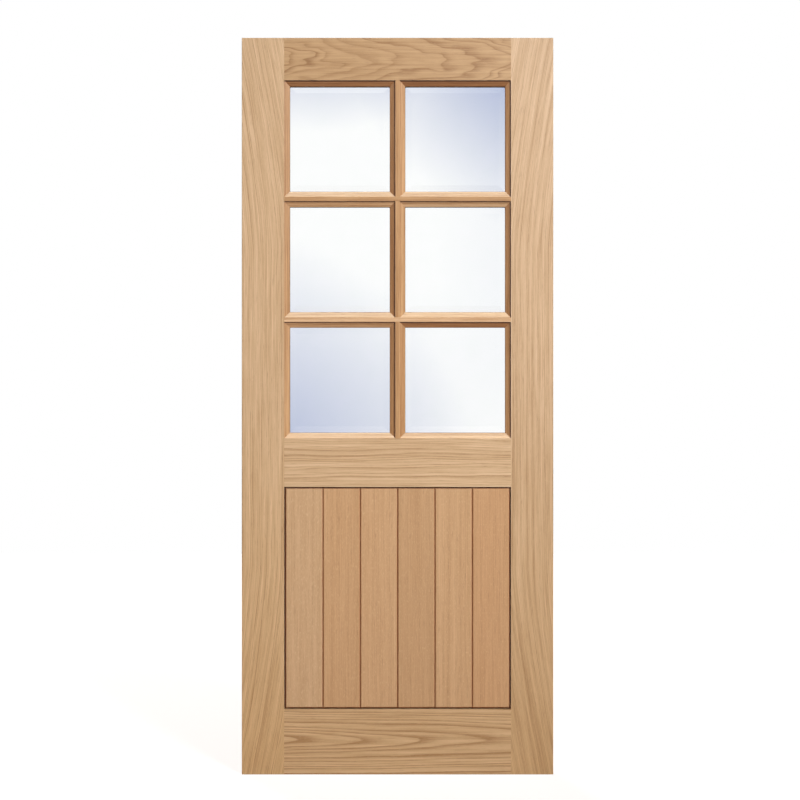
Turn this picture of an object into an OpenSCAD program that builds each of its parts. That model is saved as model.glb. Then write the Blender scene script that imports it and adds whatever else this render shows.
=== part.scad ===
// Glazed external door leaf in oak. Two stiles and three rails hold six bevelled sealed glass units
// between mitred beads, and a panel of six tongued and V-jointed boards below the middle rail.
// Sizes are in millimetres. X runs to the right as seen from outside, Y runs from the outside face to
// the room side, Z is up. The origin is the middle of the bottom edge, half way through the thickness.

/* [Leaf] */
// Width of the leaf
leaf_w = 838; // [762:1:926]
// Height of the leaf
leaf_h = 1981; // [1920:1:2135]
// Thickness of the leaf
leaf_t = 44; // [40:1:54]
// Arris taken off the long outer edges of the stiles
edge_arris = 1; // [0.5:0.25:3]

/* [Stiles and rails] */
// Width of each stile
stile_w = 114; // [95:1:140]
// Height of the top rail
top_rail_h = 114; // [95:1:140]
// Height of the middle rail
middle_rail_h = 131; // [110:1:180]
// Height of the middle rail's lower edge above the bottom of the leaf
middle_rail_z = 773; // [650:1:900]
// Height of the bottom rail
bottom_rail_h = 175; // [140:1:240]

/* [Dowel joints] */
// Diameter of the dowels between rails and stiles
dowel_d = 16; // [12:1:18]
// Length of a dowel, half of it in each timber
dowel_len = 130; // [90:2:150]
// Chamfer on a dowel's ends
dowel_chamfer = 1.5; // [0.5:0.25:3]
// Distance of the outermost dowels from a rail's edges
dowel_inset = 35; // [30:1:38]
// Dowels at each end of the top rail
top_dowels = 2; // [2:1:3]
// Dowels at each end of the middle rail
middle_dowels = 3; // [2:1:3]
// Dowels at each end of the bottom rail
bottom_dowels = 3; // [2:1:4]
// Room around a dowel in its hole
dowel_room = 0.1; // [0.05:0.05:0.3]
// Room for glue past a dowel's end
dowel_end_room = 2; // [1:0.5:4]

/* [Glazing bars] */
// Face width of the glazing bars
bar_w = 12; // [10:0.5:24]
// Thickness of the stub tenon on a bar's end
bar_tenon_t = 20; // [12:1:26]
// Length of the stub tenon on a bar's end
bar_tenon_len = 15; // [8:1:25]
// Room around a stub tenon and in the crossing of two bars
bar_room = 0.1; // [0.05:0.05:0.3]
// Room past the end of a stub tenon
bar_end_room = 1; // [0.5:0.25:3]

/* [Glazing beads] */
// Width of a bead from the timber to the sight line
bead_w = 14.5; // [12:0.5:20]
// How far a bead lies below the leaf's face
bead_set = 4; // [1:0.25:6]
// Upright nose of a bead at the glass
bead_nose = 1.5; // [1:0.25:4]
// Open line left in a mitre between two beads
mitre_gap = 0.2; // [0.1:0.05:0.5]

/* [Sealed glass units] */
// Thickness of the bevelled outer pane
outer_pane_t = 6; // [5:0.5:8]
// Width of the bevel ground on the outer pane
bevel_w = 28; // [22:1:40]
// Glass taken off at the pane's edge by the bevel
bevel_drop = 3; // [1.5:0.25:4]
// Clear space between the two panes
cavity = 6; // [5:0.5:12]
// Thickness of the inner pane
inner_pane_t = 4; // [4:0.5:6]
// Room between a unit and the timber around it
pane_room = 4; // [3:0.5:6]
// Width of the sealant around the spacer bar
seal_w = 3; // [2:0.5:4]
// Height of the spacer bar in the plane of the glass
spacer_h = 7; // [5:0.5:9]
// Wall of the hollow spacer bar
spacer_wall = 1; // [0.5:0.25:1.5]
// Thickness of the glazing tape under a bead, at the sight line
tape_t = 1.5; // [1:0.25:3]
// How far the glazing tape shows past the bead
tape_show = 0.6; // [0.2:0.1:1.5]
// Length of a setting block under a unit
block_len = 40; // [20:1:60]

/* [Boarded panel] */
// Boards in the panel
board_count = 6; // [4:1:8]
// How far the boards lie below the leaf's face
board_set = 3; // [1:0.5:6]
// Open shadow gap around the panel
panel_gap = 3.5; // [2:0.25:6]
// Chamfer on the boards' edges, two of which make a V joint
board_chamfer = 2.75; // [1.5:0.25:4]
// Open line left between two boards
board_gap = 0.5; // [0.2:0.1:1]
// Thickness of the tongue between two boards
board_tongue_t = 10; // [8:0.5:13]
// Length of the tongue between two boards
board_tongue_len = 9; // [6:0.5:12]
// Thickness of the tongue around the panel
edge_tongue_t = 12; // [9:0.5:16]
// How far the tongue around the panel runs into the frame
edge_tongue_run = 10; // [7:0.5:14]
// Room on each side of a tongue in its groove
tongue_room = 0.2; // [0.1:0.05:0.4]
// Room past a tongue's end for the boards to swell
swell_room = 2; // [1:0.25:3]

/* [Hidden] */
$fn = 64;
half_t = leaf_t / 2;
opening_w = leaf_w - 2 * stile_w;
half_open = opening_w / 2;
glazing_z = middle_rail_z + middle_rail_h;
top_rail_z = leaf_h - top_rail_h;
glazing_h = top_rail_z - glazing_z;

row_names = ["top", "middle", "bottom"];
column_names = ["left", "right"];
rows = [0 : len(row_names) - 1];
columns = [0 : len(column_names) - 1];
light_w = (opening_w - (len(column_names) - 1) * bar_w) / len(column_names);
light_h = (glazing_h - (len(row_names) - 1) * bar_w) / len(row_names);
function light_x(c) = -half_open + light_w / 2 + c * (light_w + bar_w);
function light_z(r) = top_rail_z - light_h / 2 - r * (light_h + bar_w);
upper_bar_z = top_rail_z - light_h - bar_w / 2;
lower_bar_z = upper_bar_z - light_h - bar_w;

// The glass unit is set in the thickness so that the beads on both faces are alike
pane_w = light_w - 2 * pane_room;
pane_h = light_h - 2 * pane_room;
unit_t = outer_pane_t + cavity + inner_pane_t;
sight_drop = bevel_drop * (bevel_w - bead_w + pane_room) / bevel_w;
bead_h = (leaf_t - 2 * bead_set - 2 * tape_t - unit_t + sight_drop) / 2;
bead_back = half_t - bead_set - bead_h;
unit_back = bead_back - tape_t;
unit_front = unit_back - unit_t;
cavity_front = unit_front + outer_pane_t;
cavity_back = cavity_front + cavity;
rim_front = unit_front + bevel_drop;

// Boards
board_half_t = half_t - board_set;
field_w = opening_w - 2 * panel_gap;
board_pitch = field_w / board_count;
field_z0 = bottom_rail_h + panel_gap;
field_z1 = middle_rail_z - panel_gap;
edge_tongue_reach = panel_gap + edge_tongue_run;
groove_t = edge_tongue_t + 2 * tongue_room;
groove_depth = edge_tongue_run + swell_room;

// Each rail as its lower edge, its height and its dowels at an end
rail_list = [
    [0, bottom_rail_h, bottom_dowels],
    [middle_rail_z, middle_rail_h, middle_dowels],
    [top_rail_z, top_rail_h, top_dowels]
];

oak = [0.78, 0.64, 0.48];
oak_bead = [0.82, 0.67, 0.5];
oak_board = [0.77, 0.62, 0.45];
beech = [0.85, 0.7, 0.55];
clear_glass = [0.8, 0.88, 0.95, 0.45];
bright_metal = [0.75, 0.76, 0.78];
dark_seal = [0.12, 0.12, 0.13];
brown_tape = [0.3, 0.2, 0.13];
block_plastic = [0.25, 0.45, 0.3];

function light_node(kind, r, c) = str(row_names[r], "_", column_names[c], "_", kind);
function board_node(i) = str("board_", i + 1);

// Shared shapes

// A prism along Z from points given as [x, y]
module prism_z(points, z0, z1) {
    translate([0, 0, z0])
        linear_extrude(height = z1 - z0)
            polygon(points);
}

// A prism along X from points given as [z, y]
module prism_x(points, x0, x1) {
    translate([x0, 0, 0])
        rotate([90, 0, 90])
            linear_extrude(height = x1 - x0)
                polygon([for (p = points) [p[1], p[0]]]);
}

// A box between two corners
module block(low, high) {
    translate(low)
        cube(high - low);
}

// A flat ring in the plane of the glass, from its outer sizes, its width and its place in the thickness
module ring(w, h, width, y0, y1) {
    difference() {
        block([-w / 2, y0, -h / 2], [w / 2, y1, h / 2]);
        block([-w / 2 + width, y0 - 1, -h / 2 + width], [w / 2 - width, y1 + 1, h / 2 - width]);
    }
}

// Puts its children at the middle of a light
module at_light(r, c) {
    translate([light_x(c), 0, light_z(r)])
        children();
}

// Puts its children at each dowel joint on one side of the leaf, along X
module at_dowels(side) {
    for (rail = rail_list, i = [0 : rail[2] - 1])
        translate([side * half_open, 0, rail[0] + dowel_inset + i * (rail[1] - 2 * dowel_inset) / (rail[2] - 1)])
            rotate([0, 90, 0])
                children();
}

module dowel_hole() {
    cylinder(d = dowel_d + 2 * dowel_room, h = dowel_len + 2 * dowel_end_room, center = true);
}

// The groove that takes the panel's edge tongue, cut from each frame timber
module panel_groove() {
    block(
        [-half_open - groove_depth, -groove_t / 2, bottom_rail_h - edge_tongue_run],
        [half_open + groove_depth, groove_t / 2, middle_rail_z + groove_depth]
    );
}

// The holes for the stub tenons of all three bars
module bar_mortices() {
    side = bar_tenon_t / 2 + bar_room;
    half = bar_w / 2 + bar_room;
    deep = bar_tenon_len + bar_end_room;
    block([-half, -side, glazing_z - deep], [half, side, top_rail_z + deep]);
    for (z = [upper_bar_z, lower_bar_z])
        block([-half_open - deep, -side, z - half], [half_open + deep, side, z + half]);
}

// Frame

module stile(side) {
    outer = leaf_w / 2;
    outline = [
        [half_open, -half_t], [outer - edge_arris, -half_t], [outer, -half_t + edge_arris],
        [outer, half_t - edge_arris], [outer - edge_arris, half_t], [half_open, half_t]
    ];
    color(oak)
        difference() {
            prism_z([for (p = outline) [side * p[0], p[1]]], 0, leaf_h);
            panel_groove();
            bar_mortices();
            at_dowels(side) dowel_hole();
        }
}

module rail(z, h) {
    color(oak)
        difference() {
            block([-half_open, -half_t, z], [half_open, half_t, z + h]);
            panel_groove();
            bar_mortices();
            at_dowels(-1) dowel_hole();
            at_dowels(1) dowel_hole();
        }
}

module rail_dowels() {
    r = dowel_d / 2;
    half = dowel_len / 2;
    outline = [
        [0, -half], [r - dowel_chamfer, -half], [r, -half + dowel_chamfer],
        [r, half - dowel_chamfer], [r - dowel_chamfer, half], [0, half]
    ];
    color(beech)
        for (side = [-1, 1])
            at_dowels(side)
                rotate_extrude()
                    polygon(outline);
}

// Glazing bars, halved over each other where they cross

module vertical_bar() {
    color(oak)
        difference() {
            union() {
                block([-bar_w / 2, -half_t, glazing_z], [bar_w / 2, half_t, top_rail_z]);
                block(
                    [-bar_w / 2, -bar_tenon_t / 2, glazing_z - bar_tenon_len],
                    [bar_w / 2, bar_tenon_t / 2, top_rail_z + bar_tenon_len]
                );
            }
            for (z = [upper_bar_z, lower_bar_z])
                block([-bar_w, -half_t - 1, z - bar_w / 2 - bar_room], [bar_w, bar_room, z + bar_w / 2 + bar_room]);
        }
}

module horizontal_bar(z) {
    reach = half_open + bar_tenon_len;
    color(oak)
        difference() {
            union() {
                block([-half_open, -half_t, z - bar_w / 2], [half_open, half_t, z + bar_w / 2]);
                block([-reach, -bar_tenon_t / 2, z - bar_w / 2], [reach, bar_tenon_t / 2, z + bar_w / 2]);
            }
            block([-bar_w / 2 - bar_room, 0, z - bar_w], [bar_w / 2 + bar_room, half_t + 1, z + bar_w]);
        }
}

// Glazing beads

// One mitred bead on the outside face, lying along X with its timber side at Z = 0
module bead(length) {
    face = -half_t + bead_set;
    outline = [[0, face], [bead_w, -bead_back - bead_nose], [bead_w, -bead_back], [0, -bead_back]];
    half = length / 2 - mitre_gap / 2;
    intersection() {
        prism_x(outline, -half, half);
        rotate([90, 0, 0])
            linear_extrude(height = leaf_t, center = true)
                polygon([[-half, 0], [half, 0], [half - bead_w, bead_w], [bead_w - half, bead_w]]);
    }
}

// The four beads around a light, on the outside face
module bead_set_of_four() {
    for (i = [0, 1]) {
        rotate([0, 180 * i, 0])
            translate([0, 0, -light_h / 2])
                bead(light_w);
        rotate([0, 180 * i + 90, 0])
            translate([0, 0, -light_w / 2])
                bead(light_h);
    }
}

module front_beads(r, c) {
    color(oak_bead)
        at_light(r, c)
            bead_set_of_four();
}

module back_beads(r, c) {
    color(oak_bead)
        at_light(r, c)
            mirror([0, 1, 0])
                bead_set_of_four();
}

// Sealed glass units

// Section through a bevelled pane of the given size
function pane_outline(size) = [
    [-size / 2, cavity_front], [-size / 2, rim_front], [-size / 2 + bevel_w, unit_front],
    [size / 2 - bevel_w, unit_front], [size / 2, rim_front], [size / 2, cavity_front]
];

module bevelled_pane() {
    intersection() {
        prism_z(pane_outline(pane_w), -pane_h / 2, pane_h / 2);
        prism_x(pane_outline(pane_h), -pane_w / 2, pane_w / 2);
    }
}

module outer_pane(r, c) {
    color(clear_glass)
        at_light(r, c)
            bevelled_pane();
}

module inner_pane(r, c) {
    color(clear_glass)
        at_light(r, c)
            block([-pane_w / 2, cavity_back, -pane_h / 2], [pane_w / 2, unit_back, pane_h / 2]);
}

module spacer_bar(r, c) {
    w = pane_w - 2 * seal_w;
    h = pane_h - 2 * seal_w;
    color(bright_metal)
        at_light(r, c)
            difference() {
                ring(w, h, spacer_h, cavity_front, cavity_back);
                ring(
                    w - 2 * spacer_wall, h - 2 * spacer_wall, spacer_h - 2 * spacer_wall,
                    cavity_front + spacer_wall, cavity_back - spacer_wall
                );
            }
}

module edge_seal(r, c) {
    color(dark_seal)
        at_light(r, c)
            ring(pane_w, pane_h, seal_w, cavity_front, cavity_back);
}

module front_glazing_tapes() {
    color(brown_tape)
        for (r = rows, c = columns)
            at_light(r, c)
                difference() {
                    ring(pane_w, pane_h, bead_w + tape_show - pane_room, -bead_back, rim_front);
                    bevelled_pane();
                }
}

module back_glazing_tapes() {
    color(brown_tape)
        for (r = rows, c = columns)
            at_light(r, c)
                ring(pane_w, pane_h, bead_w + tape_show - pane_room, unit_back, bead_back);
}

module setting_blocks() {
    color(block_plastic)
        for (r = rows, c = columns, x = [-light_w / 4, light_w / 4])
            at_light(r, c)
                block(
                    [x - block_len / 2, rim_front, -light_h / 2],
                    [x + block_len / 2, unit_back, -pane_h / 2]
                );
}

// Boarded panel

// Right half of a board's section from the front face to the back, with its edge at x
function tongue_edge(x, t, reach) = [
    [x - board_chamfer, -board_half_t], [x, -board_half_t + board_chamfer],
    [x, -t / 2], [x + reach, -t / 2], [x + reach, t / 2], [x, t / 2],
    [x, board_half_t - board_chamfer], [x - board_chamfer, board_half_t]
];

// Left half of a board's section from the back face to the front, with a tongue of its own
function left_tongue_edge(x, t, reach) = [for (p = tongue_edge(-x, t, reach)) [-p[0], -p[1]]];

// Left half of a board's section with the groove for its neighbour's tongue
function left_groove_edge(x) =
    left_tongue_edge(x, board_tongue_t + 2 * tongue_room, -board_tongue_len - tongue_room);

function board_outline(i) =
    let (
        left = -field_w / 2 + i * board_pitch,
        right = left + board_pitch,
        last = board_count - 1
    )
    concat(
        i == last ? tongue_edge(right, edge_tongue_t, edge_tongue_reach)
            : tongue_edge(right - board_gap / 2, board_tongue_t, board_tongue_len),
        i == 0 ? left_tongue_edge(left, edge_tongue_t, edge_tongue_reach)
            : left_groove_edge(left + board_gap / 2)
    );

module board(i) {
    z_mid = (field_z0 + field_z1) / 2;
    half = (field_z1 - field_z0) / 2;
    ends = concat(
        tongue_edge(half, edge_tongue_t, edge_tongue_reach),
        left_tongue_edge(-half, edge_tongue_t, edge_tongue_reach)
    );
    color(oak_board)
        intersection() {
            prism_z(board_outline(i), field_z0 - edge_tongue_reach, field_z1 + edge_tongue_reach);
            translate([0, 0, z_mid])
                prism_x(ends, -leaf_w / 2, leaf_w / 2);
        }
}

// Pieces

stile(-1);  // left_stile
stile(1);  // right_stile
rail(top_rail_z, top_rail_h);  // top_rail
rail(middle_rail_z, middle_rail_h);  // middle_rail
rail(0, bottom_rail_h);  // bottom_rail
vertical_bar();  // vertical_glazing_bar
horizontal_bar(upper_bar_z);  // upper_glazing_bar
horizontal_bar(lower_bar_z);  // lower_glazing_bar
for (i = [0 : board_count - 1])
    board(i);
for (r = rows, c = columns) {
    outer_pane(r, c);
    inner_pane(r, c);
    spacer_bar(r, c);
    edge_seal(r, c);
    front_beads(r, c);
    back_beads(r, c);
}
rail_dowels();
front_glazing_tapes();
back_glazing_tapes();
setting_blocks();
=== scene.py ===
"""Dresses the oak door leaf: sanded oak timbers, bevelled sealed glass, the studio and the camera."""

import logging
import math
from dataclasses import dataclass, replace
from enum import Enum
from typing import Any

import bmesh
import bpy
from mathutils import Matrix, Vector


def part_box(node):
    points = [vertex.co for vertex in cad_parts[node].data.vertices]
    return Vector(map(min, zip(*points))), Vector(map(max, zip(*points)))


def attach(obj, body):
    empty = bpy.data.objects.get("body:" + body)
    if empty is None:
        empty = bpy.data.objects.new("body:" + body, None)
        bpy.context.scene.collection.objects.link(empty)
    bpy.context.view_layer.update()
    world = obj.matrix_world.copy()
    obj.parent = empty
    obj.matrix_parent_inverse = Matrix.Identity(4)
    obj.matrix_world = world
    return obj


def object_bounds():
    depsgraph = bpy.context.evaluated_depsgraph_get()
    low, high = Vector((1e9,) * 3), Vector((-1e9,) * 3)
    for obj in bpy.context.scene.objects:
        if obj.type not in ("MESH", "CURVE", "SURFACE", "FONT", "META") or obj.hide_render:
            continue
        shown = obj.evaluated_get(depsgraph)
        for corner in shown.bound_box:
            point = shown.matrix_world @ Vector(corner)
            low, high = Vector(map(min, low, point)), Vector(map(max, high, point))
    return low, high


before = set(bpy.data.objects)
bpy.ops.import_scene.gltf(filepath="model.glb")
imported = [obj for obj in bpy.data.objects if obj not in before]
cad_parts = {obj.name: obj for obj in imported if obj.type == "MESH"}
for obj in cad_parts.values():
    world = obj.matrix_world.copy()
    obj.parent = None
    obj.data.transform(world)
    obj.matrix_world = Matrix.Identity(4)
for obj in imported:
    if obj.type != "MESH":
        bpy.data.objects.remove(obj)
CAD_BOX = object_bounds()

LOG = logging.getLogger("door_leaf")
MM = 0.001
ROWS = ("top", "middle", "bottom")
COLUMNS = ("left", "right")
# How far apart two timbers lie in the noise, and in their run of years, for each step of their seeds
SEED_STEP = (913.0, 571.0, 337.0)
YEAR_STEP = 41.0
# Noise seldom leaves the middle quarter of its range, so it is widened by this much
NOISE_GAIN = 4.0
Colour = tuple[float, float, float, float]


def linear(hex_colour: str) -> Colour:
    """Turns an sRGB hex colour into linear light.

    Args:
        hex_colour: six hex digits after a hash sign.

    Returns:
        Red, green, blue and an alpha of one, in linear light.
    """
    parts = [int(hex_colour[i:i + 2], 16) / 255 for i in (1, 3, 5)]
    light = [p / 12.92 if p <= 0.04045 else ((p + 0.055) / 1.055) ** 2.4 for p in parts]
    return (light[0], light[1], light[2], 1.0)


def add_node(tree: bpy.types.NodeTree, kind: str, inputs: dict[Any, Any] | None = None,
             **settings: Any) -> Any:
    """Adds a node, gives it its settings, and fills or links its inputs.

    Args:
        tree: the node tree that gets the node.
        kind: Blender's name for the kind of node.
        inputs: socket name or number to a value, or to the socket that feeds it, or to the node whose first
            socket in use does.
        settings: the node's own properties.

    Returns:
        The new node.
    """
    node = tree.nodes.new(kind)
    for name, value in settings.items():
        setattr(node, name, value)
    for socket, value in (inputs or {}).items():
        if isinstance(value, bpy.types.Node):
            value = next(out for out in value.outputs if not out.is_unavailable)
        if isinstance(value, bpy.types.NodeSocket):
            tree.links.new(value, node.inputs[socket])
        else:
            node.inputs[socket].default_value = value
    return node


def set_stops(ramp: bpy.types.ColorRamp, stops: list[tuple[float, Colour]]) -> None:
    """Gives a colour ramp its stops.

    Args:
        ramp: the ramp, which comes with two stops.
        stops: position and colour of each stop, in order.
    """
    while len(ramp.elements) < len(stops):
        ramp.elements.new(0.5)
    for element, (position, colour) in zip(ramp.elements, stops):
        element.position = position
        element.color = colour


def grey(level: float) -> Colour:
    """Returns a linear grey of that level."""
    return (level, level, level, 1.0)


def new_material(name: str) -> tuple[bpy.types.Material, bpy.types.NodeTree]:
    """Makes a material whose nodes are still to come.

    Args:
        name: the material's name.

    Returns:
        The material and its empty node tree.
    """
    material = bpy.data.materials.new(name)
    material.use_nodes = True
    material.node_tree.nodes.clear()
    return material, material.node_tree


def new_object(name: str, shape: bmesh.types.BMesh, material: bpy.types.Material) -> bpy.types.Object:
    """Puts a built shape into the scene.

    Args:
        name: the object's name.
        shape: the shape, which is freed.
        material: what it is finished in.

    Returns:
        The object.
    """
    mesh = bpy.data.meshes.new(name)
    shape.to_mesh(mesh)
    shape.free()
    mesh.materials.append(material)
    made = bpy.data.objects.new(name, mesh)
    bpy.context.scene.collection.objects.link(made)
    return made


def dress(node: str, material: bpy.types.Material) -> None:
    """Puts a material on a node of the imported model.

    Args:
        node: the node's name.
        material: what it is finished in.
    """
    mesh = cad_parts[node].data
    mesh.materials.clear()
    mesh.materials.append(material)
    LOG.info("%s dressed in %s", node, material.name)


class Grain(Enum):
    """Which way the fibres of a piece run."""

    UPRIGHT = "upright"
    LEVEL = "level"
    ROUND_A_LIGHT = "round a light"


@dataclass(frozen=True)
class Cut:
    """How a timber was sawn from its log. Lengths are in millimetres from the timber's own middle."""

    grain: Grain
    # Where the heart of the log lies across the face and in the thickness
    heart_across: float
    heart_depth: float
    # Width of a year's growth
    ring: float
    # Drift of the heart in depth, per millimetre of length
    dive: float = 0.0
    # How far the lines turn aside at the timber's ends
    flare: float = 0.0
    # How far the lines stray from true, and over what length
    wander: float = 3.0
    stray: float = 330.0
    # Strength of the lines, of the fine streaks and of the ray fleck
    lines: float = 0.6
    streaks: float = 1.0
    fleck: float = 0.2
    # Distance from mid-thickness below which the faces are painted darker and redder, painted shade in the
    # grooves, chamfers and joints, or nought
    groove_shade_from: float = 0.0
    seed: float = 0.0
    # One tint for a timber, with a second for the foot of an upright one, painted shade that makes the foot
    # darker and yellower where less light and sheen fall, or four for the beads around a light: top, right,
    # bottom, left, which hold painted light and shade by side as well as the stick's own tint
    tints: tuple[str, ...] = ("#FFFFFF",)
    # Tints of the strip along each bead's outer edge, painted shade in the quirk where the bead meets the
    # timber, in that order
    quirk_shade_tints: tuple[str, ...] = ()


@dataclass(frozen=True)
class SandedOak:
    """European oak, sanded and oiled: pale late wood, brown rows of open pores, and pale flecks of ray."""

    name: str
    # Late wood, the mean, the early wood's pore rows and the pores themselves
    pale: str = "#DEBE99"
    mean: str = "#CCAB84"
    brown: str = "#AB855C"
    pore: str = "#7A4F28"
    ray: str = "#E0C39B"
    # Painted shade in grooves and joints: its colour, and how far down it is at its darkest
    painted_groove_shade: str = "#7A3414"
    groove_shade_depth: float = 2.6
    # Strip of painted shade where a bead lies against the timber: its width, and where it fades as shares of
    # that
    quirk_shade_width: float = 2.4
    quirk_shade_fade: tuple[float, float] = (0.5, 1.2)
    # Oil leaves a satin face, a little rougher in the open pores
    satin: float = 0.33
    open_grain: float = 0.48
    # Typical for wood under oil
    ior: float = 1.5
    # Share of the half length from which the lines turn aside, and how suddenly
    turn_from: float = 0.42
    turn_curve: float = 1.4
    # Width over which the lines stray, as a share of the length
    stray_width: float = 0.26
    # How slowly good and poor years take turns, by how many years they move the lines, and the faintest year
    slow_years: float = 0.23
    year_swing: float = 3.0
    faintest_year: float = 0.3
    # How open the wood is through a year, from spring on
    season: tuple[tuple[float, float], ...] = (
        (0.0, 0.25), (0.07, 1.0), (0.24, 0.62), (0.5, 0.18), (0.8, 0.0), (1.0, 0.22))
    # Real pores are about 0.3 mm wide: they are drawn coarser, so that they show at this size
    pore_width: float = 1.2
    pore_length: float = 30.0
    # Noise above which there is a pore, in late and in early wood, how sharp its edge is and how dark it gets
    pore_late: float = 0.66
    pore_early: float = 0.5
    pore_edge: float = 7.0
    pore_share: float = 0.42
    # Tone of wood without lines or streaks, and the tone that has the mean colour
    plain_tone: float = 0.3
    mean_tone: float = 0.42
    # Fine fibre and broad streaks, as width and length
    fibre_width: float = 1.7
    fibre_length: float = 85.0
    streak_width: float = 9.0
    streak_length: float = 480.0
    # Rays show as short flecks, where the noise lies between these levels
    fleck_width: float = 1.6
    fleck_length: float = 7.0
    fleck_from: float = 0.6
    fleck_full: float = 0.8
    # Depth of the open grain in metres, and how much of it shows
    relief: float = 0.00006
    relief_share: float = 0.6

    def group(self) -> bpy.types.NodeTree:
        """Builds the solid figure of this oak once.

        Returns:
            A node group from a place in the timber, along, across and in depth, to colour, roughness and
            normal.
        """
        made = bpy.data.node_groups.get(self.name)
        if made:
            return made
        tree = bpy.data.node_groups.new(self.name, "ShaderNodeTree")
        inputs = {
            "Vector": ("Place", "Heart", "Drift"),
            "Float": ("Flare", "Half Length", "Ring", "Wander", "Stray", "Lines", "Streaks", "Fleck",
                      "Groove Shade From", "Seed"),
            "Color": ("Tint",),
        }
        outputs = {"Color": ("Color",), "Float": ("Roughness",), "Vector": ("Normal",)}
        for way, sockets in (("INPUT", inputs), ("OUTPUT", outputs)):
            for kind, labels in sockets.items():
                for label in labels:
                    tree.interface.new_socket(label, in_out=way, socket_type=f"NodeSocket{kind}")
        given = add_node(tree, "NodeGroupInput").outputs
        straight = self._straightened(tree, given)
        shifted = self._shifted(tree, given, straight)
        radius = self._radius(tree, given, straight, shifted)
        rows = self._growth_lines(tree, given, radius)
        pores = self._pores(tree, shifted, rows)
        tone = self._tone(tree, given, shifted, rows)
        colour = self._colour(tree, given, shifted, tone, pores)
        rough = add_node(tree, "ShaderNodeMapRange", {
            "Value": pores, "To Min": self.satin, "To Max": self.open_grain})
        height = add_node(tree, "ShaderNodeMath", {0: pores, 1: -1.0}, operation="MULTIPLY")
        bump = add_node(tree, "ShaderNodeBump", {
            "Height": height, "Distance": self.relief, "Strength": self.relief_share})
        add_node(tree, "NodeGroupOutput", {"Color": colour, "Roughness": rough, "Normal": bump})
        return tree

    def _straightened(self, tree: bpy.types.NodeTree, given: Any) -> Any:
        """Takes out the turn of the fibres at the timber's ends.

        Args:
            tree: the group.
            given: the group's inputs.

        Returns:
            The place that it would be in a straight-grained timber.
        """
        along = add_node(tree, "ShaderNodeSeparateXYZ", {0: given["Place"]}).outputs["X"]
        share = add_node(tree, "ShaderNodeMath", {0: along, 1: given["Half Length"]}, operation="DIVIDE")
        out = add_node(tree, "ShaderNodeMath", {0: share}, operation="ABSOLUTE")
        ended = add_node(tree, "ShaderNodeMapRange", {"Value": out, "From Min": self.turn_from})
        bent = add_node(tree, "ShaderNodeMath", {0: ended, 1: self.turn_curve}, operation="POWER")
        flare = add_node(tree, "ShaderNodeMath", {0: bent, 1: given["Flare"]}, operation="MULTIPLY")
        aside = add_node(tree, "ShaderNodeCombineXYZ", {1: flare})
        return add_node(tree, "ShaderNodeVectorMath", {0: given["Place"], 1: aside}, operation="SUBTRACT")

    def _shifted(self, tree: bpy.types.NodeTree, given: Any, place: Any) -> Any:
        """Moves the place by the timber's seed, so that no two timbers share a pattern.

        Args:
            tree: the group.
            given: the group's inputs.
            place: the place in the timber.

        Returns:
            The moved place.
        """
        step = add_node(tree, "ShaderNodeVectorMath", {0: SEED_STEP, "Scale": given["Seed"]},
                        operation="SCALE")
        return add_node(tree, "ShaderNodeVectorMath", {0: place, 1: step}, operation="ADD")

    def _stretched(self, tree: bpy.types.NodeTree, place: Any, length: float, width: float,
                   detail: float) -> Any:
        """Noise that is drawn out along the grain.

        Args:
            tree: the group.
            place: the place in the timber.
            length: its length along the grain in millimetres.
            width: its width across the grain in millimetres.
            detail: how many finer layers it has.

        Returns:
            The noise's texture node.
        """
        scaled = add_node(tree, "ShaderNodeVectorMath", {0: place, 1: (1 / length, 1 / width, 1 / width)},
                          operation="MULTIPLY")
        return add_node(tree, "ShaderNodeTexNoise", {"Vector": scaled, "Scale": 1.0, "Detail": detail})

    def _radius(self, tree: bpy.types.NodeTree, given: Any, straight: Any, shifted: Any) -> Any:
        """Distance of a place from the heart of the log, with the log's drift and stray lines.

        Args:
            tree: the group.
            given: the group's inputs.
            straight: the place in the timber.
            shifted: the place, moved by the timber's seed.

        Returns:
            The distance in millimetres.
        """
        along = add_node(tree, "ShaderNodeSeparateXYZ", {0: straight}).outputs["X"]
        drift = add_node(tree, "ShaderNodeVectorMath", {0: given["Drift"], "Scale": along}, operation="SCALE")
        heart = add_node(tree, "ShaderNodeVectorMath", {0: given["Heart"], 1: drift}, operation="ADD")
        across = add_node(tree, "ShaderNodeMath", {0: given["Stray"], 1: self.stray_width},
                          operation="MULTIPLY")
        reach = add_node(tree, "ShaderNodeCombineXYZ", {0: given["Stray"], 1: across, 2: across})
        scaled = add_node(tree, "ShaderNodeVectorMath", {0: shifted, 1: reach}, operation="DIVIDE")
        noise = add_node(tree, "ShaderNodeTexNoise", {"Vector": scaled, "Scale": 1.0, "Detail": 2.0})
        level = add_node(tree, "ShaderNodeVectorMath", {0: noise.outputs["Color"], 1: (0.5, 0.5, 0.5)},
                         operation="SUBTRACT")
        amount = add_node(tree, "ShaderNodeMath", {0: given["Wander"], 1: NOISE_GAIN}, operation="MULTIPLY")
        stray = add_node(tree, "ShaderNodeVectorMath", {0: level, "Scale": amount}, operation="SCALE")
        place = add_node(tree, "ShaderNodeVectorMath", {0: straight, 1: stray}, operation="ADD")
        away = add_node(tree, "ShaderNodeVectorMath", {0: place, 1: heart}, operation="SUBTRACT")
        flat = add_node(tree, "ShaderNodeVectorMath", {0: away, 1: (0.0, 1.0, 1.0)}, operation="MULTIPLY")
        return add_node(tree, "ShaderNodeVectorMath", {0: flat}, operation="LENGTH")

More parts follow.
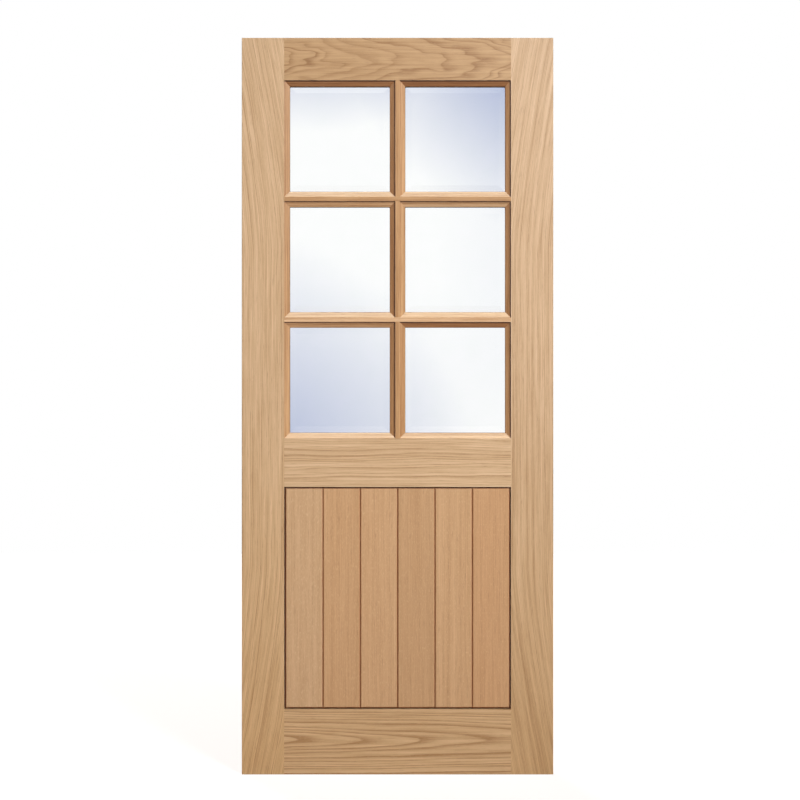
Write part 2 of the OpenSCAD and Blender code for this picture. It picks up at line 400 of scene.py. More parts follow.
    def _growth_lines(self, tree: bpy.types.NodeTree, given: Any, radius: Any) -> Any:
        """Rows of early wood, one for each year, of uneven width and strength.

        Args:
            tree: the group.
            given: the group's inputs.
            radius: distance from the heart.

        Returns:
            How strongly a place lies in a pore row, from 0 to 1.
        """
        years = add_node(tree, "ShaderNodeMath", {0: radius, 1: given["Ring"]}, operation="DIVIDE")
        seeded = add_node(tree, "ShaderNodeMath", {0: given["Seed"], 1: YEAR_STEP}, operation="MULTIPLY")
        slow = add_node(tree, "ShaderNodeMath", {
            0: years, 1: self.slow_years, 2: seeded}, operation="MULTIPLY_ADD")
        uneven = add_node(tree, "ShaderNodeTexNoise", {"W": slow, "Scale": 1.0, "Detail": 1.0},
                          noise_dimensions="1D")
        age = add_node(tree, "ShaderNodeMath", {
            0: uneven, 1: self.year_swing, 2: years}, operation="MULTIPLY_ADD")
        season = add_node(tree, "ShaderNodeMath", {0: age}, operation="FRACT")
        year = add_node(tree, "ShaderNodeMath", {0: age}, operation="FLOOR")
        row = add_node(tree, "ShaderNodeValToRGB", {0: season})
        set_stops(row.color_ramp, [(at, grey(level)) for at, level in self.season])
        chance = add_node(tree, "ShaderNodeTexWhiteNoise", {"W": year}, noise_dimensions="1D")
        strength = add_node(tree, "ShaderNodeMapRange", {"Value": chance, "To Min": self.faintest_year})
        return add_node(tree, "ShaderNodeMath", {0: row, 1: strength}, operation="MULTIPLY")

    def _pores(self, tree: bpy.types.NodeTree, place: Any, rows: Any) -> Any:
        """Open pores as short dashes, thick in the pore rows and thin between them.

        Args:
            tree: the group.
            place: the place in the timber, moved by its seed.
            rows: how strongly a place lies in a pore row.

        Returns:
            How open the grain is, from 0 to 1.
        """
        dashes = self._stretched(tree, place, self.pore_length, self.pore_width, 1.0)
        open_at = add_node(tree, "ShaderNodeMapRange", {
            "Value": rows, "To Min": self.pore_late, "To Max": self.pore_early})
        over = add_node(tree, "ShaderNodeMath", {0: dashes, 1: open_at}, operation="SUBTRACT")
        return add_node(tree, "ShaderNodeMath", {0: over, 1: self.pore_edge}, operation="MULTIPLY",
                        use_clamp=True)

    def _tone(self, tree: bpy.types.NodeTree, given: Any, place: Any, rows: Any) -> Any:
        """Adds lines, fibre and broad streaks to one tone.

        Args:
            tree: the group.
            given: the group's inputs.
            place: the place in the timber, moved by its seed.
            rows: how strongly a place lies in a pore row.

        Returns:
            The tone, from 0 for the palest wood to 1 for the brownest.
        """
        fibre = self._stretched(tree, place, self.fibre_length, self.fibre_width, 2.0)
        broad = self._stretched(tree, place, self.streak_length, self.streak_width, 2.0)
        both = add_node(tree, "ShaderNodeMath", {0: fibre, 1: broad}, operation="ADD")
        level = add_node(tree, "ShaderNodeMath", {0: both, 1: 1.0}, operation="SUBTRACT")
        drawn = add_node(tree, "ShaderNodeMath", {
            0: level, 1: given["Streaks"], 2: self.plain_tone}, operation="MULTIPLY_ADD")
        return add_node(tree, "ShaderNodeMath", {0: rows, 1: given["Lines"], 2: drawn},
                        operation="MULTIPLY_ADD", use_clamp=True)

    def _colour(self, tree: bpy.types.NodeTree, given: Any, place: Any, tone: Any, pores: Any) -> Any:
        """Turns tone, pores and rays into colour, and paints shade on the faces that lie deep in grooves and
        joints.

        Args:
            tree: the group.
            given: the group's inputs.
            place: the place in the timber, moved by its seed.
            tone: the tone of the wood.
            pores: how open the grain is.

        Returns:
            The colour.
        """
        wood = add_node(tree, "ShaderNodeValToRGB", {0: tone})
        set_stops(wood.color_ramp, [
            (0.0, linear(self.pale)), (self.mean_tone, linear(self.mean)), (1.0, linear(self.brown))])
        share = add_node(tree, "ShaderNodeMath", {0: pores, 1: self.pore_share}, operation="MULTIPLY")
        pored = add_node(tree, "ShaderNodeMix", {
            "Factor": share, "A": wood, "B": linear(self.pore)}, data_type="RGBA")
        flecks = self._stretched(tree, place, self.fleck_length, self.fleck_width, 0.0)
        shown = add_node(tree, "ShaderNodeMapRange", {
            "Value": flecks, "From Min": self.fleck_from, "From Max": self.fleck_full})
        amount = add_node(tree, "ShaderNodeMath", {0: shown, 1: given["Fleck"]},
                          operation="MULTIPLY", use_clamp=True)
        rayed = add_node(tree, "ShaderNodeMix", {
            "Factor": amount, "A": pored, "B": linear(self.ray)}, data_type="RGBA")
        tinted = add_node(tree, "ShaderNodeMix", {
            "Factor": 1.0, "A": rayed, "B": given["Tint"]}, data_type="RGBA", blend_type="MULTIPLY")
        # Painted shade: faces nearer mid-thickness than the given depth, in grooves, chamfers and joints, are
        # darkened towards a red brown
        depth = add_node(tree, "ShaderNodeSeparateXYZ", {0: given["Place"]}).outputs["Z"]
        inward = add_node(tree, "ShaderNodeMath", {0: depth}, operation="ABSOLUTE")
        below = add_node(tree, "ShaderNodeMath", {0: given["Groove Shade From"], 1: inward}, operation="SUBTRACT")
        painted_groove_shade = add_node(tree, "ShaderNodeMath", {0: below, 1: 1 / self.groove_shade_depth},
                          operation="MULTIPLY", use_clamp=True)
        return add_node(tree, "ShaderNodeMix", {
            "Factor": painted_groove_shade, "A": tinted, "B": linear(self.painted_groove_shade)}, data_type="RGBA")

    def material(self, name: str, cut: Cut, low: Vector, high: Vector) -> bpy.types.Material:
        """Makes the finish of one timber.

        Args:
            name: the timber's name.
            cut: how it was sawn.
            low: lowest corner of the timber, in metres.
            high: highest corner.

        Returns:
            The material.
        """
        material, tree = new_material(f"{self.name} {name}")
        middle = (low + high) / 2
        size = (high - low) / MM
        spot = add_node(tree, "ShaderNodeTexCoord").outputs["Object"]
        own = add_node(tree, "ShaderNodeVectorMath", {0: spot, 1: middle}, operation="SUBTRACT")
        scaled = add_node(tree, "ShaderNodeVectorMath", {0: own, "Scale": 1 / MM}, operation="SCALE")
        x, y, z = add_node(tree, "ShaderNodeSeparateXYZ", {0: scaled}).outputs
        upright = add_node(tree, "ShaderNodeCombineXYZ", {0: z, 1: x, 2: y})
        level = add_node(tree, "ShaderNodeCombineXYZ", {0: x, 1: z, 2: y})
        tint: Any = linear(cut.tints[0])
        if cut.grain is Grain.UPRIGHT:
            place, half = upright, size.z / 2
            # Painted shade: the foot is tinted darker and yellower towards the bottom
            if len(cut.tints) > 1:
                fade = add_node(tree, "ShaderNodeMapRange", {
                    "Value": z, "From Min": -half, "From Max": 0.0, "To Min": 1.0, "To Max": 0.0})
                tint = add_node(tree, "ShaderNodeMix", {
                    "Factor": fade, "A": tint, "B": linear(cut.tints[1])}, data_type="RGBA")
        elif cut.grain is Grain.LEVEL:
            place, half = level, size.x / 2
        else:
            side = self._beside(tree, x, z, size)
            place = add_node(tree, "ShaderNodeMix", {"Factor": side, "A": level, "B": upright},
                             data_type="VECTOR")
            half = size.z / 2
            # Painted light and shade by side, over each stick's own tint
            tint = self._colour_by_bead_side(tree, x, z, side, cut.tints)
            # Painted shade in the quirk along each bead's outer edge, darkest on the top and right beads
            if cut.quirk_shade_tints:
                tint = self._painted_quirk_shade(tree, x, z, side, size, tint, cut.quirk_shade_tints)
        figure = add_node(tree, "ShaderNodeGroup", {
            "Place": place, "Heart": (0.0, cut.heart_across, cut.heart_depth), "Drift": (0.0, 0.0, cut.dive),
            "Flare": cut.flare, "Half Length": half, "Ring": cut.ring, "Wander": cut.wander,
            "Stray": cut.stray, "Lines": cut.lines, "Streaks": cut.streaks, "Fleck": cut.fleck,
            "Groove Shade From": cut.groove_shade_from, "Seed": cut.seed, "Tint": tint}, node_tree=self.group())
        colour, rough, normal = figure.outputs
        shader = add_node(tree, "ShaderNodeBsdfPrincipled", {
            "Base Color": colour, "Roughness": rough, "Normal": normal, "IOR": self.ior})
        add_node(tree, "ShaderNodeOutputMaterial", {"Surface": shader})
        return material

    def _beside(self, tree: bpy.types.NodeTree, x: Any, z: Any, size: Vector) -> Any:
        """Tells the upright beads of a light from the level ones, parted along the mitres.

        Args:
            tree: the material's nodes.
            x: place across the light.
            z: place up the light.
            size: size of the set of beads in millimetres.

        Returns:
            One in an upright bead, nought in a level one.
        """
        out_x = add_node(tree, "ShaderNodeMath", {0: x}, operation="ABSOLUTE")
        out_z = add_node(tree, "ShaderNodeMath", {0: z}, operation="ABSOLUTE")
        lead = add_node(tree, "ShaderNodeMath", {0: out_x, 1: out_z}, operation="SUBTRACT")
        return add_node(tree, "ShaderNodeMath", {0: lead, 1: (size.x - size.z) / 2},
                        operation="GREATER_THAN")

    def _colour_by_bead_side(self, tree: bpy.types.NodeTree, x: Any, z: Any, side: Any, tints: tuple[str, ...]) -> Any:
        """Gives each bead of a light the colour for its side: each stick's own tint with painted light and
        shade by side, or the painted quirk shade.

        Args:
            tree: the material's nodes.
            x: place across the light.
            z: place up the light.
            side: one in an upright bead, nought in a level one.
            tints: tints of the top, right, bottom and left beads.

        Returns:
            The tint.
        """
        top, right, bottom, left = (linear(tint) for tint in tints)
        upper = add_node(tree, "ShaderNodeMath", {0: z, 1: 0.0}, operation="GREATER_THAN")
        righter = add_node(tree, "ShaderNodeMath", {0: x, 1: 0.0}, operation="GREATER_THAN")
        level = add_node(tree, "ShaderNodeMix", {"Factor": upper, "A": bottom, "B": top}, data_type="RGBA")
        upright = add_node(tree, "ShaderNodeMix", {"Factor": righter, "A": left, "B": right},
                           data_type="RGBA")
        return add_node(tree, "ShaderNodeMix", {"Factor": side, "A": level, "B": upright}, data_type="RGBA")

    def _painted_quirk_shade(self, tree: bpy.types.NodeTree, x: Any, z: Any, side: Any, size: Vector, tint: Any,
                   quirk_shade_tints: tuple[str, ...]) -> Any:
        """Paints shade on the strip of each bead that lies against the timber, standing in for the quirk's
        shadow.

        Args:
            tree: the material's nodes.
            x: place across the light.
            z: place up the light.
            side: one in an upright bead, nought in a level one.
            size: size of the set of beads in millimetres.
            tint: the tint of the rest of the bead.
            quirk_shade_tints: painted shade colours of the strip of the top, right, bottom and left beads.

        Returns:
            The tint with the painted shade.
        """
        out_x = add_node(tree, "ShaderNodeMath", {0: x}, operation="ABSOLUTE")
        in_x = add_node(tree, "ShaderNodeMath", {0: size.x / 2, 1: out_x}, operation="SUBTRACT")
        out_z = add_node(tree, "ShaderNodeMath", {0: z}, operation="ABSOLUTE")
        in_z = add_node(tree, "ShaderNodeMath", {0: size.z / 2, 1: out_z}, operation="SUBTRACT")
        nearest = add_node(tree, "ShaderNodeMath", {0: in_x, 1: in_z}, operation="MINIMUM")
        start, end = (share * self.quirk_shade_width for share in self.quirk_shade_fade)
        quirk_shade_mask = add_node(tree, "ShaderNodeMapRange", {
            "Value": nearest, "From Min": start, "From Max": end, "To Min": 1.0, "To Max": 0.0})
        quirk_shade_colour = self._colour_by_bead_side(tree, x, z, side, quirk_shade_tints)
        dark = add_node(tree, "ShaderNodeMix", {"Factor": 1.0, "A": tint, "B": quirk_shade_colour},
                        data_type="RGBA", blend_type="MULTIPLY")
        return add_node(tree, "ShaderNodeMix", {"Factor": quirk_shade_mask, "A": tint, "B": dark}, data_type="RGBA")


@dataclass(frozen=True)
class FloatGlass:
    """Clear float glass with ground and polished bevels: hard, almost colourless and mirror smooth."""

    name: str = "clear float glass"
    # Iron leaves float glass a trace of green, which comes and goes a little over the sheet
    clear: str = "#FFFFFF"
    green: str = "#FDFEFD"
    ior: float = 1.52
    # Polishing leaves next to no haze
    smooth: float = 0.0
    hazy: float = 0.008
    # Size of the faint patches in millimetres
    patch: float = 45.0

    def material(self) -> bpy.types.Material:
        """Makes the finish of the panes.

        Returns:
            The material.
        """
        material, tree = new_material(self.name)
        spot = add_node(tree, "ShaderNodeTexCoord").outputs["Object"]
        noise = add_node(tree, "ShaderNodeTexNoise", {
            "Vector": spot, "Scale": 1 / (MM * self.patch), "Detail": 1.0})
        tint = add_node(tree, "ShaderNodeMix", {
            "Factor": noise, "A": linear(self.clear), "B": linear(self.green)}, data_type="RGBA")
        haze = add_node(tree, "ShaderNodeMapRange", {
            "Value": noise, "To Min": self.smooth, "To Max": self.hazy})
        shader = add_node(tree, "ShaderNodeBsdfPrincipled", {
            "Base Color": tint, "Roughness": haze, "Transmission Weight": 1.0, "IOR": self.ior})
        add_node(tree, "ShaderNodeOutputMaterial", {"Surface": shader})
        return material


@dataclass(frozen=True)
class PlainStuff:
    """A small part's stuff: one colour that varies a little, and a surface that is never quite even."""

    name: str
    light: str
    dark: str
    smooth: float
    rough: float
    # Size of the uneven patches, along X, Y and Z, in millimetres
    patch: tuple[float, float, float]
    metallic: float = 0.0
    # Height of the unevenness in metres, and how much of it shows
    relief: float = 0.00003
    relief_share: float = 0.5
    ior: float = 1.5

    def material(self) -> bpy.types.Material:
        """Makes the finish.

        Returns:
            The material.
        """
        material, tree = new_material(self.name)
        spot = add_node(tree, "ShaderNodeTexCoord").outputs["Object"]
        scale = tuple(1 / (MM * p) for p in self.patch)
        scaled = add_node(tree, "ShaderNodeVectorMath", {0: spot, 1: scale}, operation="MULTIPLY")
        noise = add_node(tree, "ShaderNodeTexNoise", {"Vector": scaled, "Scale": 1.0, "Detail": 3.0})
        mix = add_node(tree, "ShaderNodeMix", {
            "Factor": noise, "A": linear(self.light), "B": linear(self.dark)}, data_type="RGBA")
        rough = add_node(tree, "ShaderNodeMapRange", {
            "Value": noise, "To Min": self.smooth, "To Max": self.rough})
        bump = add_node(tree, "ShaderNodeBump", {
            "Height": noise, "Distance": self.relief, "Strength": self.relief_share})
        surface = {"Base Color": mix, "Roughness": rough, "Normal": bump, "Metallic": self.metallic}
        if not self.metallic:
            surface["IOR"] = self.ior
        shader = add_node(tree, "ShaderNodeBsdfPrincipled", surface)
        add_node(tree, "ShaderNodeOutputMaterial", {"Surface": shader})
        return material


@dataclass
class Frame:
    """The two stiles and three rails, and the dowels in their joints."""

    oak: SandedOak
    cuts: dict[str, Cut]
    beech: PlainStuff

    def dress(self) -> None:
        """Finishes the timbers and the dowels."""
        for node, cut in self.cuts.items():
            dress(node, self.oak.material(node, cut, *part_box(node)))
        dress("rail_dowels", self.beech.material())


@dataclass
class GlazingGrid:
    """The three bars that part the lights, and the mitred beads around each light on both faces."""

    bar_oak: SandedOak
    bead_oak: SandedOak
    bar_cuts: dict[str, Cut]
    bead_cut: Cut
    # Tints of the beads around each light, from the top left light on: each stick's own tint together with
    # painted light and shade by side, the right beads browner than the left, the bottom beads, which face up,
    # greyer, and the top beads of most lights darker
    tints: tuple[tuple[str, str, str, str], ...]
    filler: PlainStuff
    # How far the seeds of two sets of beads lie apart
    seed_step: float = 0.37
    # Slope of a bead in millimetres: its width, and its two edges' distance from mid-thickness
    bead_width: float = 14.5
    bead_outer: float = 18.0
    bead_inner: float = 10.06
    # Pins are punched in and filled: places along a bead from its middle, and distance in from its outer edge
    pin_places: tuple[float, ...] = (-100.0, 0.0, 100.0)
    pin_inset: float = 5.0
    # Outline of a filled hole as radius and height over the slope
    pin_outline: tuple[tuple[float, float], ...] = ((0.9, -1.2), (0.9, 0.0), (0.6, 0.06))
    pin_sides: int = 12

    def build_pins(self) -> None:
        """Makes the filled pin holes in the slopes of the room side's beads, as one piece."""
        shape = bmesh.new()
        fall = self.bead_outer - self.bead_inner
        depth = self.bead_outer - fall * self.pin_inset / self.bead_width
        for row in ROWS:
            for column in COLUMNS:
                low, high = (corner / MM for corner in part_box(f"{row}_{column}_back_beads"))
                middle = (low + high) / 2
                for inward in (Vector((1, 0, 0)), Vector((-1, 0, 0)), Vector((0, 0, 1)), Vector((0, 0, -1))):
                    half = abs(inward.dot(high - low)) / 2
                    along = Vector((inward.z, 0, inward.x))
                    up = (inward * fall + Vector((0, self.bead_width, 0))).normalized()
                    turn = up.to_track_quat("Z", "Y").to_matrix().to_4x4()
                    for place in self.pin_places:
                        spot = middle - inward * (half - self.pin_inset) + along * place
                        spot.y = depth
                        self._add_pin(shape, Matrix.Translation(spot) @ turn)
        bmesh.ops.recalc_face_normals(shape, faces=shape.faces)
        pins = new_object("bead_pins", shape, self.filler.material())
        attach(pins, "root")
        LOG.info("bead_pins built")

    def _add_pin(self, shape: bmesh.types.BMesh, place: Matrix) -> None:
        """Adds one filled hole.

        Args:
            shape: the mesh that is being built.
            place: the hole's place and lean, in millimetres.
        """
        angles = [2 * math.pi * step / self.pin_sides for step in range(self.pin_sides)]
        rings = [
            [shape.verts.new(place @ Vector((radius * math.cos(a), radius * math.sin(a), height)) * MM)
             for a in angles]
            for radius, height in self.pin_outline
        ]
        for lower, upper in zip(rings, rings[1:]):
            for step in range(self.pin_sides):
                after = (step + 1) % self.pin_sides
                shape.faces.new((lower[step], lower[after], upper[after], upper[step]))
        shape.faces.new(rings[0])
        shape.faces.new(rings[-1])

    def dress(self) -> None:
        """Finishes the bars, gives each set of beads its own piece of timber, and adds the pins."""
        for node, cut in self.bar_cuts.items():
            dress(node, self.bar_oak.material(node, cut, *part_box(node)))
        lights = [f"{row}_{column}" for row in ROWS for column in COLUMNS]
        sets = [f"{light}_{face}_beads" for face in ("front", "back") for light in lights]
        for number, node in enumerate(sets):
            tints = self.tints[number % len(self.tints)]
            cut = replace(self.bead_cut, seed=self.bead_cut.seed + self.seed_step * number, tints=tints)
            dress(node, self.bead_oak.material(node, cut, *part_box(node)))
        self.build_pins()


@dataclass
class SealedUnits:
    """The six sealed glass units with their spacers, seals, tapes and setting blocks."""

    glass: FloatGlass
    spacer: PlainStuff
    seal: PlainStuff
    tape: PlainStuff
    block: PlainStuff

    def dress(self) -> None:
        """Finishes every piece of the units."""
        pane, spacer, seal = self.glass.material(), self.spacer.material(), self.seal.material()
        for row in ROWS:
            for column in COLUMNS:
                light = f"{row}_{column}"
                dress(f"{light}_outer_pane", pane)
                dress(f"{light}_inner_pane", pane)
                dress(f"{light}_spacer_bar", spacer)
                dress(f"{light}_edge_seal", seal)
        tape = self.tape.material()
        dress("front_glazing_tapes", tape)
        dress("back_glazing_tapes", tape)
        dress("setting_blocks", self.block.material())


@dataclass
class BoardedPanel:
    """The six tongued boards below the middle rail."""

    oak: SandedOak
    cuts: list[Cut]

    def dress(self) -> None:
        """Gives each board its own piece of timber."""
        for number, cut in enumerate(self.cuts, start=1):
            node = f"board_{number}"
            dress(node, self.oak.material(node, cut, *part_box(node)))


@dataclass(frozen=True)
class Lamp:
    """A square softbox: its place, its edge in metres, its power in watts and the colour of its light."""

    name: str
    place: tuple[float, float, float]
    size: float
    watts: float
    colour: str
    # Full angle of the beam in degrees, as a grid before the box narrows it
    beam: float


@dataclass
class Studio:
    """A white studio: a softbox before and one behind, soft light all round, and the camera in front."""

    # Camera
    eye: tuple[float, float, float] = (0.0066, -4.222, 1.007)
    lens_mm: float = 70.27
    sensor_mm: float = 36.0
    # Softboxes, turned to the leaf and placed where the glass doesn't mirror them
    lamps: tuple[Lamp, ...] = (
        Lamp("softbox_right", (4.2, -6.7, 5.0), size=2.8, watts=48.5, colour="#F4F9FF", beam=34.0),
        Lamp("softbox_behind", (-2.9, 7.0, 5.5), size=4.2, watts=55.0, colour="#FBFCFF", beam=34.0),
    )
    lamp_target: tuple[float, float, float] = (0.22, 0.0, 1.48)
    # Light of the room, warm with the oak about it, from below and from above
    room_tint: str = "#FFE0BC"
    room_low: float = 0.06
    room_high: float = 0.38
    # What polished faces mirror before the leaf: its colour, and its brightness at each rise, from -1
    # straight down to 1 straight up
    mirror_tint: str = "#E4F1FF"
    mirrored: tuple[tuple[float, float], ...] = (
        (-0.3, 0.05), (-0.1, 0.15), (0.04, 1.0), (0.35, 1.0), (0.85, 7.5))
    # Share of it that is left behind the leaf, and where it falls to that, from -1 before to 1 behind
    mirrored_behind: float = 0.15
    mirror_fade: tuple[float, float] = (-0.4, 0.1)
    # Backdrop behind the glass: white with soft shades, each as a place across and up in the leaf's plane,
    # a reach and a strength
    backdrop_gap: float = 0.45
    shade: str = "#3664B6"
    shades: tuple[tuple[float, float, float, float], ...] = (
        (0.50, 2.12, 0.68, 1.28), (-0.20, 2.15, 0.42, 1.0), (0.75, 1.39, 0.65, 0.28),
        (-0.556, 0.708, 0.79, 0.98), (0.0, 1.0, 0.35, 0.08))
    # White floor: half its width, and its own white at the leaf, which rises to 1 between these distances
    floor_half: float = 6.0
    floor_glow: float = 0.76
    floor_near: float = 0.5
    floor_far: float = 4.2
    # Share of the lamps' light that it shows, so that it keeps the shadow
    floor_diffuse: float = 0.36
    # Light thrown back up by the floor is weak and warm
    floor_bounce: str = "#886436"

    def build(self) -> None:
        """Makes the floor, the backdrop, the lamps, the room's light and the camera."""
        self._floor()
        self._backdrop()
        for lamp in self.lamps:
            self._hang(lamp)
        self._room()
        self._camera()
        LOG.info("studio built")

    def _floor(self) -> None:
        """Makes a pale floor that keeps a soft shadow and shows white to the camera."""
        material, tree = new_material("white studio floor")
        path = add_node(tree, "ShaderNodeLightPath").outputs
        spot = add_node(tree, "ShaderNodeTexCoord").outputs["Object"]
        away = add_node(tree, "ShaderNodeVectorMath", {0: spot}, operation="LENGTH")
        level = add_node(tree, "ShaderNodeMapRange", {
            "Value": away, "From Min": self.floor_near, "From Max": self.floor_far,
            "To Min": self.floor_glow})
        glow = add_node(tree, "ShaderNodeEmission", {"Color": grey(1.0), "Strength": level})
        faint = add_node(tree, "ShaderNodeBsdfDiffuse", {"Color": grey(self.floor_diffuse)})
        shown = add_node(tree, "ShaderNodeAddShader", {0: glow, 1: faint})
        lit = add_node(tree, "ShaderNodeBsdfDiffuse", {"Color": linear(self.floor_bounce)})
        seen = add_node(tree, "ShaderNodeMath", {0: path["Is Camera Ray"], 1: path["Is Transmission Ray"]},
                        operation="ADD")
        either = add_node(tree, "ShaderNodeMath", {0: seen, 1: path["Is Glossy Ray"]},
                          operation="ADD", use_clamp=True)
        mixed = add_node(tree, "ShaderNodeMixShader", {0: either, 1: lit, 2: shown})
        add_node(tree, "ShaderNodeOutputMaterial", {"Surface": mixed})
        shape = bmesh.new()
        bmesh.ops.create_grid(shape, x_segments=1, y_segments=1, size=self.floor_half)
        floor = new_object("studio_floor", shape, material)
        floor.location = (0.0, 0.0, CAD_BOX[0].z - MM)

    def _hang(self, lamp: Lamp) -> None:
        """Hangs one softbox.

        Args:
            lamp: the softbox.
        """
        data = bpy.data.lights.new(lamp.name, "AREA")
        data.shape = "SQUARE"
        data.size = lamp.size
        data.energy = lamp.watts
        data.spread = math.radians(lamp.beam)
        data.color = linear(lamp.colour)[:3]
        box = bpy.data.objects.new(lamp.name, data)
        bpy.context.scene.collection.objects.link(box)
        box.location = lamp.place
        aim = Vector(self.lamp_target) - Vector(lamp.place)
        box.rotation_euler = aim.to_track_quat("-Z", "Y").to_euler()

    def _room(self) -> None:
        """Lights the room from all sides, and gives the camera, gloss and glass their own white backdrop."""
        world = bpy.data.worlds.new("white studio")
        bpy.context.scene.world = world
        world.use_nodes = True
        tree = world.node_tree
        tree.nodes.clear()
        way = add_node(tree, "ShaderNodeTexCoord").outputs["Generated"]
        path = add_node(tree, "ShaderNodeLightPath").outputs
        _, behind, rise = add_node(tree, "ShaderNodeSeparateXYZ", {0: way}).outputs
        room = add_node(tree, "ShaderNodeMapRange", {
            "Value": rise, "From Min": -1.0, "To Min": self.room_low, "To Max": self.room_high})
        fill = add_node(tree, "ShaderNodeVectorMath", {
            0: linear(self.room_tint)[:3], "Scale": room}, operation="SCALE")
        # A ramp runs from 0 to 1, a rise from -1 to 1
        share = add_node(tree, "ShaderNodeMath", {0: rise, 1: 0.5, 2: 0.5}, operation="MULTIPLY_ADD")
        mirrored = add_node(tree, "ShaderNodeValToRGB", {0: share})
        red, green, blue, _ = linear(self.mirror_tint)
        set_stops(mirrored.color_ramp, [
            (at / 2 + 0.5, (red * level, green * level, blue * level, 1.0)) for at, level in self.mirrored])
        start, end = self.mirror_fade
        before = add_node(tree, "ShaderNodeMapRange", {
            "Value": behind, "From Min": start, "From Max": end,
            "To Min": 1.0, "To Max": self.mirrored_behind})
        softened = add_node(tree, "ShaderNodeVectorMath", {0: mirrored, "Scale": before}, operation="SCALE")
        gloss = add_node(tree, "ShaderNodeMix", {
            "Factor": path["Is Glossy Ray"], "A": fill, "B": softened}, data_type="RGBA")
        clear = add_node(tree, "ShaderNodeMath", {0: path["Is Camera Ray"], 1: path["Is Transmission Ray"]},
                         operation="ADD", use_clamp=True)
        seen = add_node(tree, "ShaderNodeMix", {
            "Factor": clear, "A": gloss, "B": grey(1.0)}, data_type="RGBA")
        ground = add_node(tree, "ShaderNodeBackground", {"Color": seen, "Strength": 1.0})
        add_node(tree, "ShaderNodeOutputWorld", {"Surface": ground})

    def _backdrop(self) -> None:
        """Hangs a white sheet with soft shades close behind the leaf, seen only through the glass."""
        material, tree = new_material("white backdrop")
        spot = add_node(tree, "ShaderNodeTexCoord").outputs["Object"]
        colour: Any = grey(1.0)
        for x, z, reach, strength in self.shades:
            apart = add_node(tree, "ShaderNodeVectorMath", {0: spot, 1: (x, 0.0, z)}, operation="DISTANCE")
            fade = add_node(tree, "ShaderNodeMapRange", {
                "Value": apart, "From Max": reach, "To Min": strength, "To Max": 0.0})
            colour = add_node(tree, "ShaderNodeMix", {
                "Factor": fade, "A": colour, "B": linear(self.shade)}, data_type="RGBA")
        glow = add_node(tree, "ShaderNodeEmission", {"Color": colour, "Strength": 1.0})
        add_node(tree, "ShaderNodeOutputMaterial", {"Surface": glow})
        shape = bmesh.new()
        low, high = CAD_BOX
        corners = ((low.x, low.z), (high.x, low.z), (high.x, high.z), (low.x, high.z))
        shape.faces.new([shape.verts.new((x, 0.0, z)) for x, z in corners])
        sheet = new_object("studio_backdrop", shape, material)
        # Grown from the camera, so that its own places are those of the leaf's plane
        eye = Vector(self.eye)
        growth = 1 + self.backdrop_gap / -eye.y
        sheet.scale = (growth, growth, growth)
        sheet.location = eye * (1 - growth)
        for ray in ("camera", "diffuse", "glossy", "shadow", "volume_scatter"):
            setattr(sheet, f"visible_{ray}", False)

    def _camera(self) -> None:
        """Sets the camera square in front of the leaf."""
        data = bpy.data.cameras.new("studio_camera")
        data.lens = self.lens_mm
        data.sensor_width = self.sensor_mm
        camera = bpy.data.objects.new("studio_camera", data)
        bpy.context.scene.collection.objects.link(camera)
        camera.location = self.eye
        camera.rotation_euler = (math.pi / 2, 0.0, 0.0)
        bpy.context.scene.camera = camera
        bpy.context.scene.view_settings.view_transform = "Standard"


def make_frame() -> Frame:
    """Chooses the frame's timbers.

    Returns:
        Rift stiles whose lines turn at the ends, rails with arched figure above and below, and the dowels.
    """
    stile = Cut(Grain.UPRIGHT, heart_across=-150.0, heart_depth=60.0, ring=3.0, flare=-80.0, lines=0.65,
                streaks=1.1)
    return Frame(
        oak=SandedOak("sanded oak frame"),
        cuts={
            # Each stile's second tint is painted shade, darker and yellower at the foot
            "left_stile": replace(stile, seed=1.0, tints=("#FDFCFB", "#F9F2DF")),
            "right_stile": replace(stile, heart_across=150.0, flare=80.0, seed=2.0,
                                   tints=("#FAF9FA", "#F2EAD8")),
            "top_rail": Cut(Grain.LEVEL, heart_across=-4.0, heart_depth=150.0, ring=6.4, dive=0.066,
                            wander=5.5, stray=170.0, lines=0.85, seed=3.0, tints=("#E3D8C7",)),
            "middle_rail": Cut(Grain.LEVEL, heart_across=230.0, heart_depth=80.0, ring=8.0, wander=8.0,
                               lines=0.7, streaks=1.1, seed=4.0),
            "bottom_rail": Cut(Grain.LEVEL, heart_across=4.0, heart_depth=15.6, ring=6.6, dive=0.028,
                               wander=2.5, lines=1.05, seed=5.0, tints=("#FAF6EC",)),
        },
        beech=PlainStuff("turned beech", "#D8B48C", "#C79C70", smooth=0.5, rough=0.65,
                         patch=(30.0, 2.0, 2.0)),
    )


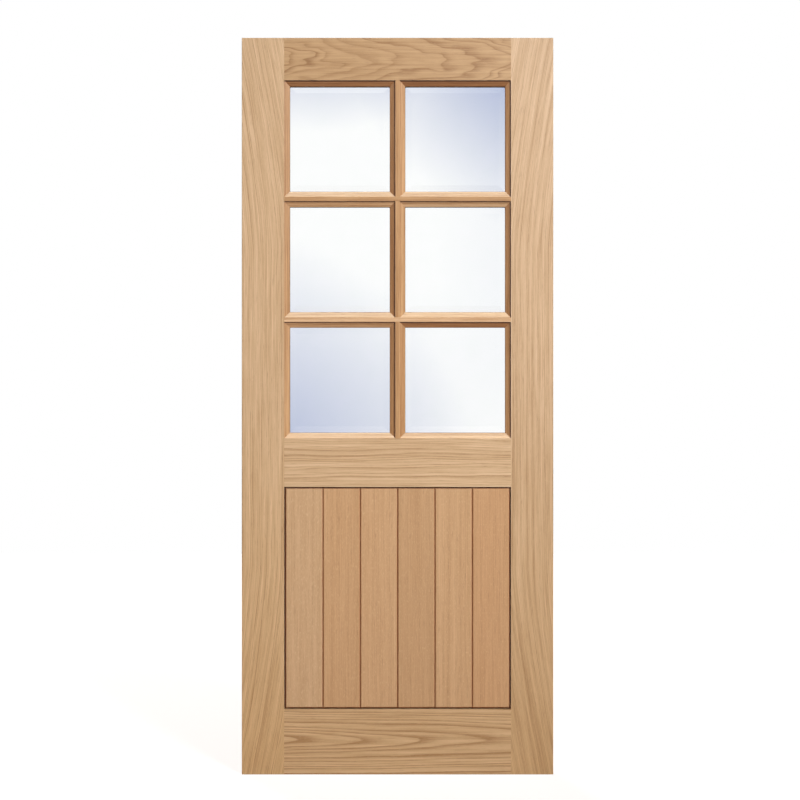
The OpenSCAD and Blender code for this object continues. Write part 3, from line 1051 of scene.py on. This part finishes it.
def make_grid() -> GlazingGrid:
    """Chooses the timber of the glazing bars and beads, and the filler over the pins.

    Returns:
        The grid, of a warmer oak than the frame.
    """
    bar = Cut(Grain.LEVEL, heart_across=120.0, heart_depth=40.0, ring=3.4, wander=2.0, lines=1.0, streaks=1.5)
    warm = SandedOak("sanded oak bars", pale="#E0BB93", mean="#CFA77D", brown="#AD8155")
    return GlazingGrid(
        filler=PlainStuff("brown wood filler", "#A9794A", "#8F6238", smooth=0.5, rough=0.65,
                          patch=(1.0, 1.0, 1.0)),
        bar_oak=warm,
        bead_oak=replace(warm, name="moulded oak beads"),
        bar_cuts={
            "vertical_glazing_bar": replace(bar, grain=Grain.UPRIGHT, seed=6.0, tints=("#E6DAC8",)),
            "upper_glazing_bar": replace(bar, seed=7.0, tints=("#DCD0BC",)),
            "lower_glazing_bar": replace(bar, heart_across=-120.0, seed=8.0),
        },
        bead_cut=Cut(Grain.ROUND_A_LIGHT, heart_across=420.0, heart_depth=60.0, ring=3.2, wander=2.5,
                     lines=0.9, streaks=1.6, seed=9.0,
                     # Painted shade in the quirk: dark on the top and right beads, none on the bottom, faint
                     # on the left
                     quirk_shade_tints=("#8A6C52", "#7E6450", "#FFFFFF", "#F2EEEA")),
        tints=(
            ("#BC9F7E", "#DAC6AE", "#EAECE6", "#DED0BC"), ("#B89A78", "#DFCDB8", "#E8E8E0", "#DED0BC"),
            ("#FFFAF4", "#D6C0A4", "#ECEEE8", "#E0D4C2"), ("#FFFFFF", "#DECCB6", "#E8E8DE", "#E0D4C0"),
            ("#F2E7DA", "#DAC6AC", "#F2F4F0", "#E2D6C4"), ("#C2A482", "#DFCEB8", "#EEEEE6", "#E0D2BE"),
        ),
    )


def make_units() -> SealedUnits:
    """Chooses the finishes of the sealed units.

    Returns:
        The units.
    """
    return SealedUnits(
        glass=FloatGlass(),
        spacer=PlainStuff("rolled aluminium spacer", "#D9DADD", "#C4C6CA", smooth=0.28, rough=0.42,
                          patch=(40.0, 0.6, 40.0), metallic=1.0),
        seal=PlainStuff("black polysulphide seal", "#26262A", "#1A1A1C", smooth=0.5, rough=0.7,
                        patch=(6.0, 6.0, 6.0)),
        tape=PlainStuff("brown foam glazing tape", "#5E4A3A", "#4A392C", smooth=0.8, rough=0.95,
                        patch=(1.5, 1.5, 1.5)),
        block=PlainStuff("moulded green polypropylene", "#3F6B4C", "#37604A", smooth=0.4, rough=0.5,
                         patch=(4.0, 4.0, 4.0)),
    )


def make_panel() -> BoardedPanel:
    """Chooses the boards.

    Returns:
        The panel, each board from its own quartered plank.
    """
    tints = ("#FFFFFF", "#FBF3EA", "#FFF9F3", "#F7F0E8", "#FFFAF4", "#FDF2E8")
    # The boards' V-grooves, chamfers and joints are painted darker, as shade, below the groove shade depth
    first = Cut(Grain.UPRIGHT, heart_across=240.0, heart_depth=34.0, ring=2.2, wander=1.6, lines=0.34,
                streaks=0.55, fleck=0.4, groove_shade_from=18.4, seed=20.0)
    # Each plank is sawn farther from the heart than the last, and the heart lies to either side in turn
    farther, seed_step = 17.0, 1.7
    cuts = [
        replace(first, heart_across=(-1) ** number * (first.heart_across + farther * number),
                seed=first.seed + seed_step * number, tints=(tint,))
        for number, tint in enumerate(tints)
    ]
    oak = SandedOak("sanded oak boards", pale="#D5B18A", mean="#C39E76", brown="#A87F55")
    return BoardedPanel(oak=oak, cuts=cuts)


def main() -> None:
    """Builds the studio and dresses the leaf."""
    logging.basicConfig(level=logging.INFO, format="%(name)s: %(message)s")
    Studio().build()
    for assembly in (make_frame(), make_grid(), make_units(), make_panel()):
        assembly.dress()


if __name__ == "__main__":
    main()
